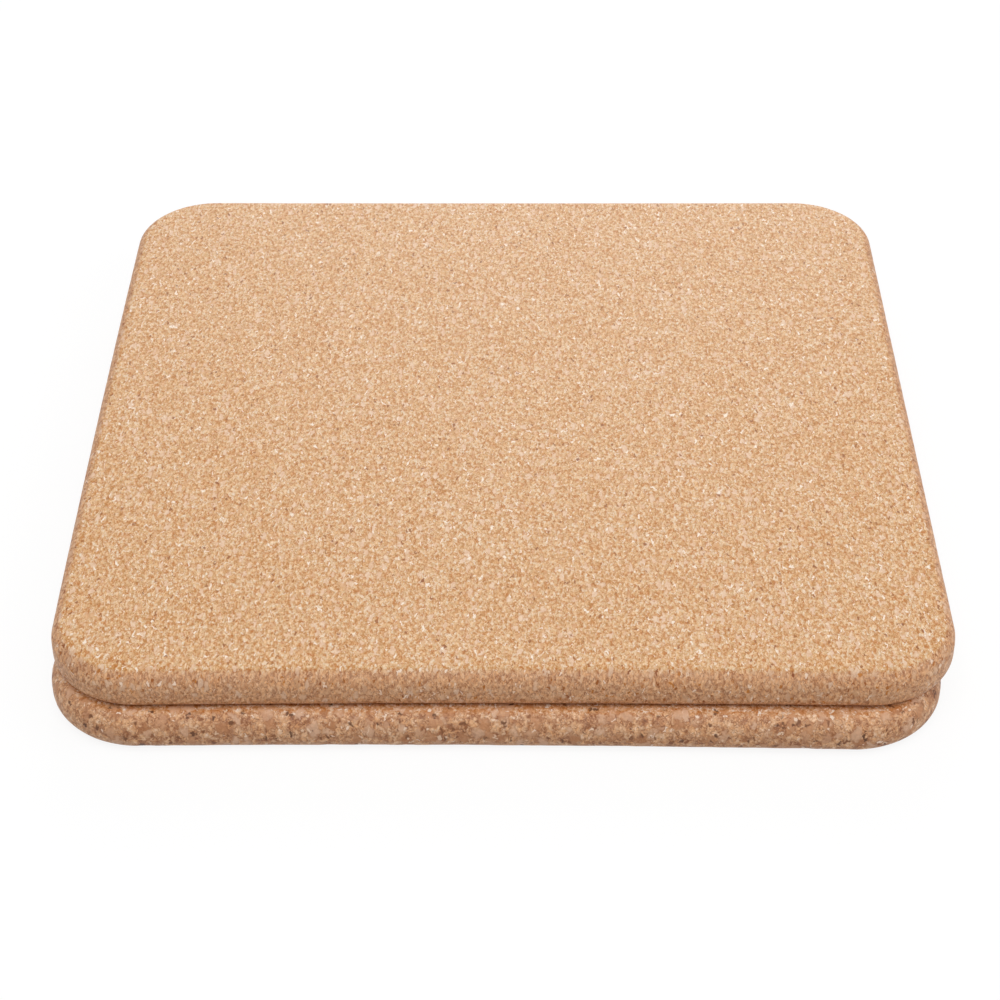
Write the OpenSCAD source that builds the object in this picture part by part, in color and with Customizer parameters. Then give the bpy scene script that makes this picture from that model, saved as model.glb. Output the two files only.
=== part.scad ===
// Square cork trivet boards of one set, lying loosely one on the other.
// Each board is one solid piece of pressed cork granules, cut square, rounded at
// its corners and sanded round along its upper and lower edges.
// Origin: the middle of the lower board's underside. +Z is up, and -Y is the side
// along which the lower board looks out from under the upper one.

/* [Upper board] */
// Length of each side of the upper board
upper_side = 200; // [120:0.5:300]
// Thickness of the upper board
upper_t = 9; // [8.5:0.5:20]
// Radius of the upper board's corners, seen from above
upper_corner_r = 20; // [8:0.5:50]
// Radius of the sanded edge round the upper board's top
upper_edge_r = 3.75; // [1:0.25:4.25]
// Radius of the sanded edge round the upper board's underside
upper_under_r = 3; // [1:0.25:4.25]

/* [Lower board] */
// Length of each side of the lower board
lower_side = 198; // [120:0.5:300]
// Thickness of the lower board
lower_t = 9; // [8.5:0.5:20]
// Radius of the lower board's corners, seen from above
lower_corner_r = 21; // [8:0.5:50]
// Radius of the sanded edge round the lower board's top
lower_edge_r = 4.25; // [1:0.25:4.25]
// Radius of the sanded edge round the lower board's underside
lower_under_r = 3.75; // [1:0.25:4.25]

/* [How the boards lie] */
// How far the upper board lies to the right of the lower one's middle
stack_shift_x = 1.1; // [-10:0.1:10]
// How far the upper board lies behind the lower one's middle
stack_shift_y = 5.25; // [-10:0.25:10]
// Degrees that the upper board is turned on the lower one
stack_turn = 0.36; // [-5:0.02:5]

/* [Hidden] */
$fn = 96;
fine_cork_colour = [0.85, 0.69, 0.53];
coarse_cork_colour = [0.71, 0.53, 0.39];

// A cut across a board's rim: `reach` wide, as high as the board, with its outer
// side at the far right. Each edge is a circle and the strip behind its centre, and
// the land between them is flat.
module rim_section(reach, thickness, edge_r, under_r) {
    translate([0, under_r]) {
        square([reach - edge_r, thickness - under_r]);
        square([reach, thickness - edge_r - under_r]);
    }
    square([reach - under_r, thickness - edge_r]);
    translate([reach - edge_r, thickness - edge_r])
        circle(edge_r);
    translate([reach - under_r, under_r])
        circle(under_r);
}

// One board: a square core, the rim section drawn along each of its four sides,
// and the same section turned a quarter round at each corner.
module board(side, thickness, corner_r, edge_r, under_r) {
    core = side - 2 * corner_r;
    translate([-core / 2, -core / 2, 0])
        cube([core, core, thickness]);
    for (quarter = [0:90:270])
        rotate([0, 0, quarter])
            translate([core / 2, core / 2, 0]) {
                rotate([90, 0, 0])
                    linear_extrude(core)
                        rim_section(corner_r, thickness, edge_r, under_r);
                rotate_extrude(angle = 90)
                    rim_section(corner_r, thickness, edge_r, under_r);
            }
}

// The board of coarse granules, which stands on the table.
module lower_board() {
    color(coarse_cork_colour)
        board(lower_side, lower_t, lower_corner_r, lower_edge_r, lower_under_r);
}

// The board of fine granules, face to face on the lower one and free to lift off.
module upper_board() {
    color(fine_cork_colour)
        translate([stack_shift_x, stack_shift_y, lower_t])
            rotate([0, 0, stack_turn])
                board(upper_side, upper_t, upper_corner_r, upper_edge_r, upper_under_r);
}

lower_board();
upper_board();
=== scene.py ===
# %% [markdown]
# # Cork trivet boards
#
# Two square boards of pressed cork granules lie loosely one on the other. Each board is a single slab with
# rounded corners and sanded edges, so nearly all that the eye has to go on is the grain of the cork. This
# lesson builds each slab as one closed surface worked out with numpy, and gives it cork made of procedural
# granules.

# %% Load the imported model
import math

import bpy
import numpy as np
from mathutils import Matrix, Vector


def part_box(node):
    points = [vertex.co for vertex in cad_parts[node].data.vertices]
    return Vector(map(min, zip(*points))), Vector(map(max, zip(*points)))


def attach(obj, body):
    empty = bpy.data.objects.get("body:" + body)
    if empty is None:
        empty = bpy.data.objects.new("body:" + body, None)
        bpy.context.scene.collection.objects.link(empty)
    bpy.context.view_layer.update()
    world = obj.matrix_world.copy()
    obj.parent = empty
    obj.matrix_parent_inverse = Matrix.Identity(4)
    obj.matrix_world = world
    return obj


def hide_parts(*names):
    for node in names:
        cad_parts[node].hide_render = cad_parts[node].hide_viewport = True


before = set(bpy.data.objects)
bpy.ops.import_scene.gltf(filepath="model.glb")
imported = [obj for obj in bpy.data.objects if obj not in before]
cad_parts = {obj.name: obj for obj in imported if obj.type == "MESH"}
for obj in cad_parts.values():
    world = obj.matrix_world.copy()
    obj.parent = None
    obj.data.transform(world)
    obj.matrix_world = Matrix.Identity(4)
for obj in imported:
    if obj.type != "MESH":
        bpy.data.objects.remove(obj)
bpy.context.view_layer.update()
MM = 0.001
print("packed nodes:", sorted(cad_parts))

# %% [markdown]
# ## The camera
#
# The view is a long-lens product view from a little under 40 degrees above the table. A camera looks along
# its own minus Z, with plus X to the right of the picture and plus Y up it. It could be aimed with a Track
# To constraint, but three directions worked out from angles say exactly where it points and how far it is
# turned about its line of sight.

# %% Camera
CAMERA_TARGET = np.array((0.42, -21.6, 10.0)) * MM
CAMERA_DISTANCE = 583.1 * MM
CAMERA_PITCH = math.radians(37.83)
CAMERA_AZIMUTH = math.radians(-0.63)
CAMERA_ROLL = math.radians(-0.133)
LENS_MM = 87.4


def camera_axes(pitch, azimuth, roll):
    """The right, up and forward directions of a camera that looks pitch below the horizon, azimuth right of
    plus Y. Right and up are then turned by roll about the line of sight."""
    level_forward = np.array((math.sin(azimuth), math.cos(azimuth), 0)) * math.cos(pitch)
    forward = level_forward - (0, 0, math.sin(pitch))
    level = np.array((math.cos(azimuth), -math.sin(azimuth), 0))
    upright = np.cross(level, forward)
    right = math.cos(roll) * level + math.sin(roll) * upright
    up = math.cos(roll) * upright - math.sin(roll) * level
    return right, up, forward


right, up, forward = camera_axes(CAMERA_PITCH, CAMERA_AZIMUTH, CAMERA_ROLL)
camera = bpy.data.objects.new("camera", bpy.data.cameras.new("camera"))
bpy.context.scene.collection.objects.link(camera)
placed = np.eye(4)
placed[:3] = np.column_stack((right, up, -forward, CAMERA_TARGET - CAMERA_DISTANCE * forward))
camera.matrix_world = Matrix(placed.tolist())
camera.data.lens = LENS_MM
bpy.context.scene.camera = camera
print("camera stands at", [round(x, 4) for x in camera.location])

# %% [markdown]
# ## Small helpers for materials
#
# A finish is a graph of nodes. One helper adds a node with its settings and what feeds it, so that each
# finish reads as a list of steps. Colours are written as sRGB hex values, as a paint chart gives them, and
# turned to the linear values that the shader works in.


# %% Colour and node helpers
def linear(hex_colour):
    """An sRGB hex colour as linear red, green, blue and alpha: the sRGB curve undone for each channel."""
    channels = np.array([int(hex_colour[i : i + 2], 16) for i in (1, 3, 5)]) / 255
    bent = np.where(channels <= 0.04045, channels / 12.92, ((channels + 0.055) / 1.055) ** 2.4)
    return (*bent.tolist(), 1.0)


def add(tree, kind, feeds=None, stops=(), **settings):
    """Adds one node with its settings. Feeds gives an input, by its name or number, a value, another node's
    output or a node, whose first output is then used. Stops are the places and hex colours along a colour
    ramp."""
    node = tree.nodes.new(kind)
    for name, setting in settings.items():
        setattr(node, name, setting)
    for name, value in (feeds or {}).items():
        named = [socket for socket in node.inputs if socket.enabled and socket.name == name]
        socket = named[0] if named else node.inputs[name]
        if isinstance(value, bpy.types.Node):
            value = next(output for output in value.outputs if output.enabled)
        if isinstance(value, bpy.types.NodeSocket):
            tree.links.new(value, socket)
        else:
            socket.default_value = value
    for _ in stops[2:]:
        node.color_ramp.elements.new(0.5)
    for (place, colour), dot in zip(stops, node.color_ramp.elements if stops else ()):
        dot.position = place
        dot.color = linear(colour)
    return node


# %% [markdown]
# ## The cork
#
# Agglomerated cork is bark ground to granules, glued, pressed into a block, sliced and sanded. The sanded
# face cuts through the granules at random, so it shows a fine mottle of pale and mid tan, short brown seams
# of binder, larger pale chips and thin splinters at all angles, and a few dark flecks of the outer bark. It
# could be one noise texture through a colour ramp, but real granules have outlines, and each has its own
# tone. Here a Voronoi texture cuts space into cells, and each cell is one fine granule. The distance to the
# borders of a second, larger set of cells draws the seams. Chips, splinters and flecks are thrown in by
# further Voronoi textures. All is read in three dimensions on Object coordinates, so that the grain runs on
# over the rounded edges, as it does in a sliced block. The coordinates are bent a little first, because
# ground bark has no smooth outlines.


# %% Chips thrown through the block
OUTLINE_REACH = 0.5


def scattered_chips(tree, place, ragged, rim, chips):
    """Cuts space into cells, about spacing_mm across, of which a share hold one chip each: a double pyramid
    about the cell's middle, turned at random. Reach is the sum of the distances from the middle along its
    three axes, each over half its width, so that a chip ends where reach is 1, and a noise makes that end
    ragged. The chip's dark outline begins there and has faded when reach is OUTLINE_REACH more. Gives how
    much a chip covers each point, how dark its outline is there, and the cell's random values."""
    feeds = {"Vector": place, "Scale": 1 / (chips["spacing_mm"] * MM), "Detail": 0.0}
    cells = add(tree, "ShaderNodeTexVoronoi", feeds)
    random = add(tree, "ShaderNodeSeparateColor", {"Color": cells.outputs["Color"]}).outputs
    feeds = {0: place, 1: cells.outputs["Position"]}
    offset = add(tree, "ShaderNodeVectorMath", feeds, operation="SUBTRACT")
    feeds = {0: cells.outputs["Color"], 1: (math.tau,) * 3}
    turns = add(tree, "ShaderNodeVectorMath", feeds, operation="MULTIPLY")
    feeds = {"Vector": offset, "Rotation": turns}
    turned = add(tree, "ShaderNodeVectorRotate", feeds, rotation_type="EULER_XYZ")
    apart = add(tree, "ShaderNodeVectorMath", {0: turned}, operation="ABSOLUTE")
    per_half_width = tuple(2 / (width * MM) for width in chips["widths_mm"])
    reach = add(tree, "ShaderNodeVectorMath", {0: apart, 1: per_half_width}, operation="DOT_PRODUCT")
    feeds = {0: ragged, 1: chips["raggedness"], 2: reach}
    reach = add(tree, "ShaderNodeMath", feeds, operation="MULTIPLY_ADD")
    feeds = {0: rim, 1: chips["more_on_rim"], 2: chips["share"]}
    share = add(tree, "ShaderNodeMath", feeds, operation="MULTIPLY_ADD")
    held = add(tree, "ShaderNodeMath", {0: random["Green"], 1: share}, operation="LESS_THAN")
    end = 1 + 0.5 * chips["raggedness"]
    feeds = {"Value": reach, "From Min": end - chips["fade"], "From Max": end + chips["fade"]}
    body = add(tree, "ShaderNodeMapRange", {**feeds, "To Min": chips["strength"], "To Max": 0.0})
    feeds = {"Value": reach, "From Min": end, "From Max": end + OUTLINE_REACH}
    beyond = add(tree, "ShaderNodeMapRange", {**feeds, "To Min": chips["outline"], "To Max": 0.0})
    cover = add(tree, "ShaderNodeMath", {0: body, 1: held}, operation="MULTIPLY")
    outline = add(tree, "ShaderNodeMath", {0: beyond, 1: held}, operation="MULTIPLY")
    return cover, outline, random


# %% [markdown]
# Each granule has a random tone, which darkens towards its border and drifts in clouds a few millimetres
# across. The rim is sanded across the layers of the block. Its tones are browner and less yellow, and so
# are its seams. That is partly the cut grain and partly painted shade, for the dimmer and pinker light on a
# rim. So the rim has a colour ramp of its own, mixed in by an attribute of the mesh, and a painted shade
# tint that darkens it a little more. Cork is matt with a faint sheen of wax, and a half rough Principled
# shader with little specular gives that.


# %% Cork of granules and chips
TONE_PLACES = (0.0, 0.22, 0.5, 0.78, 1.0)


def agglomerated_cork(name, look):
    """Sanded cork board. Look gives the sizes of its granules in millimetres and its tones, from dark to
    pale, which lie at TONE_PLACES along their colour ramps."""
    material = bpy.data.materials.new(name)
    material.use_nodes = True
    tree = material.node_tree
    tree.nodes.clear()
    point = add(tree, "ShaderNodeTexCoord").outputs["Object"]
    pressed = add(tree, "ShaderNodeMapping", {"Vector": point, "Scale": look["pressed"]})
    bend = look["bend_mm"] * MM
    wobble = add(tree, "ShaderNodeTexNoise", {"Vector": pressed, "Scale": 1 / bend, "Detail": 1.0})
    feeds = {0: wobble.outputs["Color"], 1: (0.5,) * 3}
    centred = add(tree, "ShaderNodeVectorMath", feeds, operation="SUBTRACT")
    feeds = {0: centred, 1: (look["bend_share"] * bend,) * 3, 2: pressed}
    place = add(tree, "ShaderNodeVectorMath", feeds, operation="MULTIPLY_ADD")
    feeds = {"Vector": point, "Scale": 1 / (look["ragged_mm"] * MM), "Detail": 3.0}
    ragged = add(tree, "ShaderNodeTexNoise", feeds)
    rim = add(tree, "ShaderNodeAttribute", attribute_name="sanded_rim").outputs["Fac"]

    feeds = {"Vector": place, "Scale": 1 / (look["granule_mm"] * MM), "Detail": 0.0}
    fine = add(tree, "ShaderNodeTexVoronoi", feeds)
    granule = add(tree, "ShaderNodeSeparateColor", {"Color": fine.outputs["Color"]}).outputs
    shares = (
        (fine.outputs["Distance"], -look["edge_share"]),
        (wobble, look["noise_share"]),
        (ragged, look["lump_share"]),
    )
    mottle = granule["Red"]
    for pattern, share in shares:
        mottle = add(tree, "ShaderNodeMath", {0: pattern, 1: share, 2: mottle}, operation="MULTIPLY_ADD")
    middle = 0.5 * (1 + sum(share for _, share in shares))
    span = look["mottle_span"]
    feeds = {"Value": mottle, "From Min": middle - span, "From Max": middle + span}
    tone = add(tree, "ShaderNodeMapRange", feeds)
    sliced = add(tree, "ShaderNodeValToRGB", {"Fac": tone}, tuple(zip(TONE_PLACES, look["tones"])))
    # The rim's ramp: browner tones of the cut grain, with painted shade for the dimmer, pinker light on a
    # rim.
    sanded = add(tree, "ShaderNodeValToRGB", {"Fac": tone}, tuple(zip(TONE_PLACES, look["rim_tones_with_shade"])))
    colour = add(tree, "ShaderNodeMix", {0: rim, "A": sliced, "B": sanded}, data_type="RGBA")
    hue = add(tree, "ShaderNodeValToRGB", {"Fac": granule["Blue"]}, look["hues"])
    feeds = {0: 1.0, "A": colour, "B": hue}
    colour = add(tree, "ShaderNodeMix", feeds, data_type="RGBA", blend_type="MULTIPLY")

    feeds = {"Vector": place, "Scale": 1 / (look["seam_mm"] * MM)}
    joints = add(tree, "ShaderNodeTexVoronoi", feeds, feature="DISTANCE_TO_EDGE")
    feeds = {"Value": joints, "From Max": look["seam_width"], "To Min": 1.0, "To Max": 0.0}
    line = add(tree, "ShaderNodeMapRange", feeds)
    seam_starts, seam_ends = look["seam_shown_between"]
    feeds = {"Value": wobble, "From Min": seam_starts, "From Max": seam_ends}
    shown = add(tree, "ShaderNodeMapRange", {**feeds, "To Min": look["seam_strength"], "To Max": 0.0})
    seam = add(tree, "ShaderNodeMath", {0: line, 1: shown}, operation="MULTIPLY")
    feeds = {0: rim, "A": linear(look["seam_colour"]), "B": linear(look["rim_seam_colour"])}
    binder = add(tree, "ShaderNodeMix", feeds, data_type="RGBA")
    colour = add(tree, "ShaderNodeMix", {0: seam, "A": colour, "B": binder}, data_type="RGBA")

    for chips in look["thrown_in"]:
        cover, outline, random = scattered_chips(tree, place, ragged, rim, chips)
        colour = add(tree, "ShaderNodeMix", {0: outline, "A": colour, "B": binder}, data_type="RGBA")
        own_tone = add(tree, "ShaderNodeValToRGB", {"Fac": random["Blue"]}, chips["tones"])
        colour = add(tree, "ShaderNodeMix", {0: cover, "A": colour, "B": own_tone}, data_type="RGBA")

    # Painted shade: the rim tint darkens the rim a little and makes it pinker, as its dimmer light would.
    feeds = {0: rim, "A": colour, "B": linear(look["rim_painted_shade"])}
    colour = add(tree, "ShaderNodeMix", feeds, data_type="RGBA", blend_type="MULTIPLY")

    feeds = {0: fine.outputs["Distance"], 1: -look["granule_relief"], 2: wobble}
    height = add(tree, "ShaderNodeMath", feeds, operation="MULTIPLY_ADD")
    feeds = {0: rim, 1: look["more_relief_on_rim_mm"] * MM, 2: look["relief_mm"] * MM}
    depth = add(tree, "ShaderNodeMath", feeds, operation="MULTIPLY_ADD")
    bump = add(tree, "ShaderNodeBump", {"Height": height, "Strength": 1.0, "Distance": depth})
    shader = add(tree, "ShaderNodeBsdfPrincipled", {"Base Color": colour, "Normal": bump})
    shader.inputs["Roughness"].default_value = look["roughness"]
    shader.inputs["Specular IOR Level"].default_value = look["specular"]
    add(tree, "ShaderNodeOutputMaterial", {"Surface": shader})
    return material


# %% [markdown]
# The fine board is sliced from a block that was pressed along X, so its granules are narrower that way and
# longer along Y. A rim cuts the splinters across, so that fewer show there, and more of the flecks of bark
# do.

# %% Chips, splinters and flecks
PALE_CHIPS = {
    "spacing_mm": 2.3,
    "widths_mm": (4.2, 2.4, 2.0),
    "raggedness": 0.8,
    "fade": 0.15,
    "share": 0.3,
    "more_on_rim": 0.0,
    "strength": 0.45,
    "outline": 0.35,
    "tones": ((0.0, "#E0B588"), (1.0, "#FAE8D2")),
}
PALE_SPLINTERS = dict(
    PALE_CHIPS,
    spacing_mm=1.8,
    widths_mm=(5.0, 0.9, 0.8),
    share=0.42,
    more_on_rim=-0.27,
    strength=0.9,
    outline=0.3,
    tones=((0.0, "#E6CCAE"), (1.0, "#F6E8D8")),
)
BARK_FLECKS = dict(
    PALE_CHIPS,
    spacing_mm=1.6,
    widths_mm=(1.9, 1.2, 0.9),
    share=0.13,
    more_on_rim=0.14,
    strength=0.95,
    outline=0.0,
    tones=((0.0, "#84440E"), (1.0, "#BC7A2C")),
)
FINE_CHIPS = (PALE_CHIPS, PALE_SPLINTERS, BARK_FLECKS)
print("cells of chips, splinters and flecks:", [chips["spacing_mm"] for chips in FINE_CHIPS], "mm wide")

# %% Fine cork
FINE_CORK = {
    "pressed": (1.4, 0.8, 1.0),
    "bend_mm": 1.0,
    "bend_share": 1.8,
    "ragged_mm": 2.2,
    "granule_mm": 0.58,
    "edge_share": 1.0,
    "lump_share": 0.2,
    "noise_share": 0.6,
    "mottle_span": 1.06,
    "tones": ("#8C4E1A", "#BA803A", "#D9B386", "#E7D1B4", "#F2E6D8"),
    # The rim's tones and tint hold painted shade as well as the cut grain: the rim is darker and pinker.
    "rim_tones_with_shade": ("#966A4E", "#B88C68", "#D6AE88", "#E8C8A4", "#F8DCBE"),
    "rim_painted_shade": "#FCF0E9",
    "hues": ((0.0, "#FFF0DC"), (1.0, "#F8FAFF")),
    "seam_mm": 0.8,
    "seam_width": 0.14,
    "seam_shown_between": (0.42, 0.54),
    "seam_colour": "#B4661A",
    "rim_seam_colour": "#94623E",
    "seam_strength": 1.0,
    "thrown_in": FINE_CHIPS,
    "granule_relief": 0.5,
    "relief_mm": 0.02,
    "more_relief_on_rim_mm": 0.1,
    "roughness": 0.5,
    "specular": 0.32,
}
fine_cork = agglomerated_cork("sanded_fine_cork", FINE_CORK)
print("finish:", fine_cork.name, "with", len(fine_cork.node_tree.nodes), "nodes")

# %% [markdown]
# The coarse board has the same fine granules, with larger chips, larger and darker flecks of bark, and
# stronger clouds of tone between them.

# %% Coarse cork
COARSE_CHIPS = dict(
    PALE_CHIPS,
    spacing_mm=3.2,
    widths_mm=(7.5, 3.6, 3.0),
    raggedness=2.4,
    fade=0.25,
    share=0.6,
    strength=0.45,
    outline=0.5,
    tones=((0.0, "#B07A50"), (0.4, "#DCAA80"), (1.0, "#FFE6CC")),
)
COARSE_FLECKS = dict(
    BARK_FLECKS,
    spacing_mm=1.7,
    widths_mm=(3.4, 1.6, 1.1),
    raggedness=2.2,
    fade=0.3,
    share=0.09,
    tones=((0.0, "#5A3A26"), (1.0, "#966440")),
)
COARSE_CORK = dict(
    FINE_CORK,
    pressed=(1.1, 1.1, 1.0),
    lump_share=2.8,
    mottle_span=1.15,
    tones=("#9A5A24", "#BC8350", "#DCAF86", "#EDD2B8", "#FFF3E8"),
    # The rim's tones hold painted shade as well as the cut grain.
    rim_tones_with_shade=("#845A42", "#B08464", "#D4AC86", "#E8CAA8", "#F8E2CA"),
    thrown_in=(COARSE_CHIPS, PALE_SPLINTERS, COARSE_FLECKS),
)
coarse_cork = agglomerated_cork("sanded_coarse_cork", COARSE_CORK)
print("finish:", coarse_cork.name, "with", len(coarse_cork.node_tree.nodes), "nodes")

# %% [markdown]
# ## One slab as a closed surface
#
# A board is a flat slab whose outline is a square with rounded corners, and whose rim is sanded round above
# and below. It could be a cube with a Bevel modifier, but then the flat faces would stay single huge
# polygons with no relief. Here the surface is two square grids, one for each face, joined by a rim of
# rings. Ring after ring of a grid is a smaller copy of the outline, so the cells stay near one size right
# up to the round corners. The sides of the real boards are not quite straight: most are drawn in a little
# at their middles, and one swells a little.

# %% Sizes of the boards
CORNER_CELLS = 16
STRAIGHT_CELLS = 158
SIDE_CELLS = 2 * CORNER_CELLS + STRAIGHT_CELLS
ARC_RINGS = 11
LAND_RINGS = 3
BOARDS = {
    "upper_board": {
        "side": 200 * MM,
        "corner": 20 * MM,
        "edge": 3.4 * MM,
        "front_edge": 4.3 * MM,
        "under_edge": 3.15 * MM,
        "drawn_in": (0.62 * MM, 0.0, 0.1 * MM, -0.35 * MM),
        "turn": math.radians(0.36),
        "lump": 2.4 * MM,
        "relief": 0.04 * MM,
        "upper_tile": (0.01, 0.285, 0.705),
        "lower_tile": (0.725, 0.285, 0.265),
        "strips": (0.055, 0.0675),
    },
    "lower_board": {
        "side": 198 * MM,
        "corner": 21 * MM,
        "edge": 4.25 * MM,
        "front_edge": 4.6 * MM,
        "under_edge": 3.8 * MM,
        "drawn_in": (0.78 * MM, 0.2 * MM, 0.3 * MM, 0.2 * MM),
        "turn": 0.0,
        "lump": 3.2 * MM,
        "relief": 0.14 * MM,
        "upper_tile": (0.005, 0.51, 0.485),
        "lower_tile": (0.51, 0.51, 0.485),
        "strips": (0.11, 0.1225),
    },
}
CRISP_ANGLE = math.radians(16)


# %% Outline and rim
def outline_rays(side, corner, drawn_in):
    """For each point of the rim, anticlockwise from the front left corner's middle: the centre that its arc
    turns about and its outward direction. On a straight stretch the centre slides along and the direction
    stays, and the centre is drawn in by a parabola that is highest at the side's middle. Drawn_in has a
    value for the front, right, back and left side."""
    quarter_turn = np.linspace(0, 45, CORNER_CELLS + 1)
    angle = np.concatenate((quarter_turn - 135, np.full(STRAIGHT_CELLS - 1, -90.0), quarter_turn - 90))[:-1]
    ends = np.ones(CORNER_CELLS)
    along = np.concatenate((-ends, np.linspace(-1, 1, STRAIGHT_CELLS + 1), ends))[:-1]
    reach = side / 2 - corner
    inward = np.array(drawn_in)[:, None] * (1 - along**2)
    centre = along * reach - 1j * (reach - inward)
    outward = np.exp(1j * np.radians(angle))
    quarter = np.exp(0.5j * np.pi * np.arange(4))[:, None]
    return (quarter * centre).ravel(), (quarter * outward).ravel()


def edge_arc(radius):
    """How far in and how far down each ring of a rounded edge lies at each ray, and its lean from straight
    up. The arc doesn't start level: it leaves the face at the crisp angle, as an edge rounded after the
    face is sanded does."""
    lean = np.linspace(CRISP_ANGLE, np.pi / 2, ARC_RINGS + 1)[:, None]
    return radius * (1 - np.sin(lean)), radius * (np.cos(CRISP_ANGLE) - np.cos(lean)), lean


def rim_section(board, thickness, outward):
    """The rim's cross-section from the upper face's edge to the lower one's, one row for each ring and one
    column for each ray: how far in from the outline, how high, and the lean of its normal from straight up.
    It is a rounded edge, a flat land and another rounded edge. The upper edge's radius grows towards the
    front by the square of how far the ray turns that way."""
    front = np.clip(-outward.imag, 0, 1) ** 2
    radius_above = board["edge"] + (board["front_edge"] - board["edge"]) * front
    inset_above, drop_above, lean_above = edge_arc(radius_above)
    inset_below, drop_below, lean_below = edge_arc(np.full_like(front, board["under_edge"]))
    land = np.linspace(thickness - drop_above[-1], drop_below[-1], LAND_RINGS + 1)[1:-1]
    inset = np.concatenate((inset_above, 0 * land, inset_below[::-1]))
    height = np.concatenate((thickness - drop_above, land, drop_below[::-1]))
    lean = np.concatenate((lean_above, 0 * land[:, :1] + np.pi / 2, np.pi - lean_below[::-1]))
    return inset, height, lean


def face_places(loop):
    """Points of a square grid whose rings are smaller and smaller copies of a closed outline. A grid point
    on ring m of K, a share p of the way round it, lies at m / K of the way from the centre to the outline's
    point at p."""
    half = SIDE_CELLS // 2
    x, y = np.meshgrid(np.arange(-half, half + 1), np.arange(-half, half + 1), indexing="ij")
    ring = np.maximum(abs(x), abs(y))
    sides = (y == -ring, x == ring, y == ring)
    step = np.select(sides, (x + ring, 3 * ring + y, 5 * ring - x), 7 * ring - y)
    share = np.where(ring > 0, step * half / np.maximum(ring, 1), 0)
    closed = np.append(loop, loop[0])
    marks = np.arange(len(closed))
    at = np.interp(share, marks, closed.real) + 1j * np.interp(share, marks, closed.imag)
    return at * ring / half


# %% [markdown]
# Sanding takes more from soft granules than from hard ones, so the surface has low lumps, and more on the
# coarse board. That relief could be left to a bump in the material, but the larger lumps show on the
# outline of the rims, so they are moved in the mesh. Each lump has a random depth, and depths blend into
# each other over the lumps' borders.


# %% Relief of the lumps
LUMP_SEED = 11


def lump_depths(places, size):
    """Depth from 0 to 1 at each place. Space is cut into cubes of the given size, and each holds one lump
    at a random point. Its depth is the cube of a random number from 0 to 1, so that most are shallow. A
    place takes the mean depth of the lumps of the 27 cubes around it, weighted by the exponential of minus
    eight times the squared distance in cubes, so that the nearest one counts most. The lumps repeat every
    tile cubes."""
    tile = 64
    lumps = np.random.default_rng(LUMP_SEED).random((tile, tile, tile, 4))
    cell = np.floor(places / size).astype(int)
    total = np.zeros(len(places))
    weights = np.zeros(len(places))
    for near in np.ndindex(3, 3, 3):
        there = cell + np.array(near) - 1
        lump = lumps[tuple((there % tile).T)]
        weight = np.exp(-8 * (((there + lump[:, :3]) * size - places) ** 2).sum(1) / size**2)
        total += weight * lump[:, 3] ** 3
        weights += weight
    return total / weights


# %% [markdown]
# Outside Blender the colours of a board are baked to one square picture, and a chart says which part of the
# surface each part of the picture shows. Smart UV Project could make it, but it would cut the rim into many
# small islands. Here each face of the board is one island, laid flat, and the rim is unrolled as four
# strips, so that the grain stays sharp and nothing overlaps.


# %% Chart for the baked picture
CHART_MARGIN = 0.01


def chart_places(board, places, faces, face_cells, section):
    """Where each corner of each face lies in the unit square. The two flat faces keep their plan, scaled to
    a square tile, and the underside's is mirrored. The rim is cut at the middles of the round corners into
    four strips, one above the other. Along a strip a corner's place is its share of the strip's rays. Down
    it, its place is the share of the section's mean length that lies above its ring."""
    upper_cells, lower_cells = faces[:face_cells], faces[face_cells : 2 * face_cells]
    tiles = []
    for cells, tile, mirror in ((upper_cells, "upper_tile", 1), (lower_cells, "lower_tile", -1)):
        left, bottom, size = board[tile]
        plan = places[cells, :2] / board["side"] * (mirror, 1)
        tiles.append((plan + 0.5) * size + (left, bottom))
    depth = np.linalg.norm(np.diff(section, axis=0), axis=2).mean(1)
    depth = np.append(0, np.cumsum(depth)) / depth.sum()
    ring, ray = np.indices((len(section) - 1, 4 * SIDE_CELLS))
    strip, along = np.divmod(ray, SIDE_CELLS)
    height, pitch = board["strips"]
    across = (along[..., None] + np.array((0, 0, 1, 1))) / SIDE_CELLS
    upward = strip[..., None] * pitch + height * (1 - depth[ring[..., None] + np.array((0, 1, 1, 0))])
    strips = np.stack((across * (1 - 2 * CHART_MARGIN), upward), -1) + CHART_MARGIN
    tiles.append(strips.reshape(-1, 4, 2))
    return np.concatenate(tiles)


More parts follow.
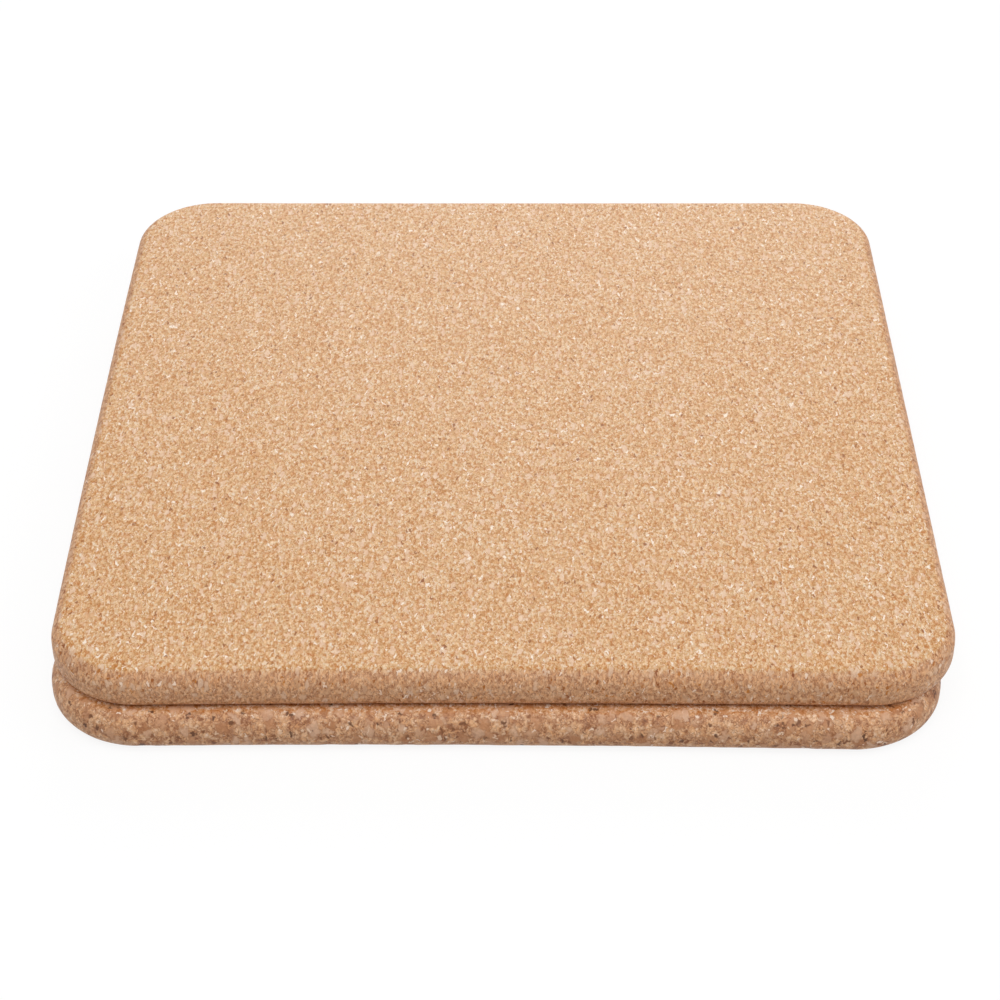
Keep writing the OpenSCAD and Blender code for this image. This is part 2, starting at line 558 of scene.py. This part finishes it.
# %% Surface of a board
def slab_surface(board, thickness):
    """Vertices, outward directions, four-cornered faces and their places in the chart, for a board centred
    on the origin with its underside at zero. Both faces are grids of places from face_places. Each ring of
    the rim lies at centre + (corner - inset) * outward, at the section's height."""
    centre, outward = outline_rays(board["side"], board["corner"], board["drawn_in"])
    inset, height, lean = rim_section(board, thickness, outward)
    around = len(centre)
    size = SIDE_CELLS + 1
    numbers = np.arange(size * size).reshape(size, size)
    edges = (numbers[:-1, 0], numbers[-1, :-1], numbers[:0:-1, -1], numbers[0, :0:-1])
    edge_of_face = np.concatenate(edges)
    upper_face = face_places(centre + (board["corner"] - inset[0]) * outward).ravel()
    lower_face = face_places(centre + (board["corner"] - inset[-1]) * outward).ravel()
    rim = centre + (board["corner"] - inset[1:-1]) * outward
    plan = np.concatenate((upper_face, lower_face, rim.ravel()))
    flat = np.ones(upper_face.size)
    level = np.concatenate((thickness * flat, 0 * flat, height[1:-1].ravel()))
    rim_normal = np.sin(lean[1:-1]) * outward
    normal_plan = np.concatenate((0 * flat, 0 * flat, rim_normal.ravel()))
    normal_up = np.concatenate((flat, -flat, np.repeat(np.cos(lean[1:-1]), around)))
    quads = (numbers[:-1, :-1], numbers[1:, :-1], numbers[1:, 1:], numbers[:-1, 1:])
    quads = np.stack(quads, -1).reshape(-1, 4)
    rings = 2 * flat.size + np.arange(rim.size).reshape(-1, around)
    rings = np.vstack((edge_of_face, rings, flat.size + edge_of_face))
    ahead = np.roll(rings, -1, axis=1)
    strip = np.stack((rings[:-1], rings[1:], ahead[1:], ahead[:-1]), -1).reshape(-1, 4)
    faces = np.vstack((quads, quads[:, ::-1] + flat.size, strip))
    places = np.stack((plan.real, plan.imag, level), 1)
    normals = np.stack((normal_plan.real, normal_plan.imag, normal_up), 1)
    chart = chart_places(board, places, faces, len(quads), np.stack((inset, height), -1))
    return places, normals, faces, chart


def mesh_of(name, places, faces):
    """Puts whole arrays of vertices and four-cornered faces into a new mesh object."""
    mesh = bpy.data.meshes.new(name)
    mesh.vertices.add(len(places))
    mesh.vertices.foreach_set("co", places.astype(np.float32).ravel())
    mesh.loops.add(faces.size)
    mesh.loops.foreach_set("vertex_index", faces.astype(np.int32).ravel())
    mesh.polygons.add(len(faces))
    mesh.polygons.foreach_set("loop_start", np.arange(0, faces.size, 4, dtype=np.int32))
    mesh.update(calc_edges=True)
    mesh.shade_smooth()
    mesh.validate()
    made = bpy.data.objects.new(name, mesh)
    bpy.context.scene.collection.objects.link(made)
    return made


# %% Build both boards
RIM_GROWTH = 6


def cork_board(name, node, material):
    """One slab in its place. An attribute says how far each place counts as rim for the finish: one less
    the upward or downward part of its direction, times RIM_GROWTH, and at most 1."""
    low, high = (np.array(corner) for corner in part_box(node))
    board = BOARDS[node]
    places, normals, faces, chart = slab_surface(board, high[2] - low[2])
    depths = lump_depths(places, board["lump"])
    places = places - board["relief"] * depths[:, None] * normals
    plan = (places[:, 0] + 1j * places[:, 1]) * np.exp(1j * board["turn"])
    middle = (low + high) / 2
    places = np.stack((plan.real + middle[0], plan.imag + middle[1], places[:, 2] + low[2]), 1)
    made = mesh_of(name, places, faces)
    rim = made.data.attributes.new("sanded_rim", "FLOAT", "POINT")
    leaning = np.clip(RIM_GROWTH * (1 - abs(normals[:, 2])), 0, 1)
    rim.data.foreach_set("value", leaning.astype(np.float32))
    chart_layer = made.data.uv_layers.new(name="OFBake")
    chart_layer.data.foreach_set("uv", chart.astype(np.float32).ravel())
    made.data.materials.append(material)
    print(name, len(faces), "faces, box", (places.min(0) / MM).round(2), (places.max(0) / MM).round(2))
    return made


upper = cork_board("upper_cork_board", "upper_board", fine_cork)
lower = cork_board("lower_cork_board", "lower_board", coarse_cork)
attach(upper, "upper_board")
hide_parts("upper_board")
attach(lower, "lower_board")
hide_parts("lower_board")

# %% [markdown]
# ## Floor
#
# The boards lie on white paper. It could be lit until it turns white, but then the boards would be lit too
# strongly. Instead the paper answers in two ways. To the light that it sends on to the boards it is a pale
# grey, as paper is. To the camera, and in reflections, most of its brightness is its own, and a smaller
# share follows the light, which keeps a soft shadow under the boards.

# %% White paper
FLOOR_HALF = 2.5
PAPER_GLOW = 0.88
corners = np.array(((-1, -1, 0), (1, -1, 0), (1, 1, 0), (-1, 1, 0))) * FLOOR_HALF
floor = mesh_of("floor", corners, np.array(((0, 1, 2, 3),)))
paper = bpy.data.materials.new("white_paper")
paper.use_nodes = True
tree = paper.node_tree
tree.nodes.clear()


def seen_directly(tree):
    """1 for what the camera, a reflection or a view through glass sees, and 0 for light on its way to a
    surface."""
    path = add(tree, "ShaderNodeLightPath").outputs
    feeds = {0: path["Is Camera Ray"], 1: path["Is Glossy Ray"]}
    seen = add(tree, "ShaderNodeMath", feeds, operation="MAXIMUM")
    feeds = {0: seen, 1: path["Is Transmission Ray"]}
    return add(tree, "ShaderNodeMath", feeds, operation="MAXIMUM")


bounce = add(tree, "ShaderNodeBsdfDiffuse", {"Color": linear("#D8D8D8")})
sheet = add(tree, "ShaderNodeBsdfDiffuse", {"Color": linear("#646464")})
glow = add(tree, "ShaderNodeEmission", {"Color": linear("#FFFFFF"), "Strength": PAPER_GLOW})
shown = add(tree, "ShaderNodeAddShader", {0: sheet, 1: glow})
either = add(tree, "ShaderNodeMixShader", {0: seen_directly(tree), 1: bounce, 2: shown})
add(tree, "ShaderNodeOutputMaterial", {"Surface": either})
floor.data.materials.append(paper)
print("paper", 2 * FLOOR_HALF, "m square")

# %% [markdown]
# ## Light
#
# A product photograph on white has a broad soft light above and a little in front, a soft light at each
# side that keeps the side rims bright, and pale surroundings that fill in from everywhere. Light from
# behind lies as a faint sheen on the flat face. The surroundings are the world, and each soft light is a
# square lamp, large against the boards. The one behind stands low and near, so that its sheen fades towards
# the front.

# %% Surroundings
WORLD_LEVEL = 0.38
world = bpy.data.worlds.new("studio")
bpy.context.scene.world = world
world.use_nodes = True
tree = world.node_tree
tree.nodes.clear()
feeds = {"Value": seen_directly(tree), "To Min": WORLD_LEVEL, "To Max": 1.0}
level = add(tree, "ShaderNodeMapRange", feeds)
sky = add(tree, "ShaderNodeBackground", {"Color": linear("#FFFFFF"), "Strength": level})
add(tree, "ShaderNodeOutputWorld", {"Surface": sky})
print("surroundings light the boards at", WORLD_LEVEL)


# %% Soft lights
def softbox(name, azimuth, elevation, watts, distance, size):
    """A square lamp aimed at the origin. Azimuth is in degrees from minus Y towards plus X, elevation in
    degrees."""
    turn, lift = math.radians(azimuth), math.radians(elevation)
    away = np.array((math.sin(turn) * math.cos(lift), -math.cos(turn) * math.cos(lift), math.sin(lift)))
    side_way = np.array((math.cos(turn), math.sin(turn), 0))
    lamp = bpy.data.objects.new(name, bpy.data.lights.new(name, "AREA"))
    lamp.data.size = size
    lamp.data.energy = watts
    lamp.visible_camera = False
    bpy.context.scene.collection.objects.link(lamp)
    stand = np.eye(4)
    stand[:3] = np.column_stack((side_way, np.cross(away, side_way), away, distance * away))
    lamp.matrix_world = Matrix(stand.tolist())
    return lamp


lamps = (
    softbox("overhead_softbox", azimuth=0, elevation=72, watts=17.0, distance=2.0, size=1.4),
    softbox("right_softbox", azimuth=80, elevation=35, watts=5.0, distance=1.5, size=1.0),
    softbox("left_softbox", azimuth=-80, elevation=30, watts=1.9, distance=1.5, size=1.0),
    softbox("back_softbox", azimuth=178, elevation=25, watts=9.4, distance=1.6, size=0.96),
)
print("lamps:", [(lamp.name, round(lamp.data.energy, 1)) for lamp in lamps])

# %% View transform
bpy.context.scene.view_settings.view_transform = "Standard"
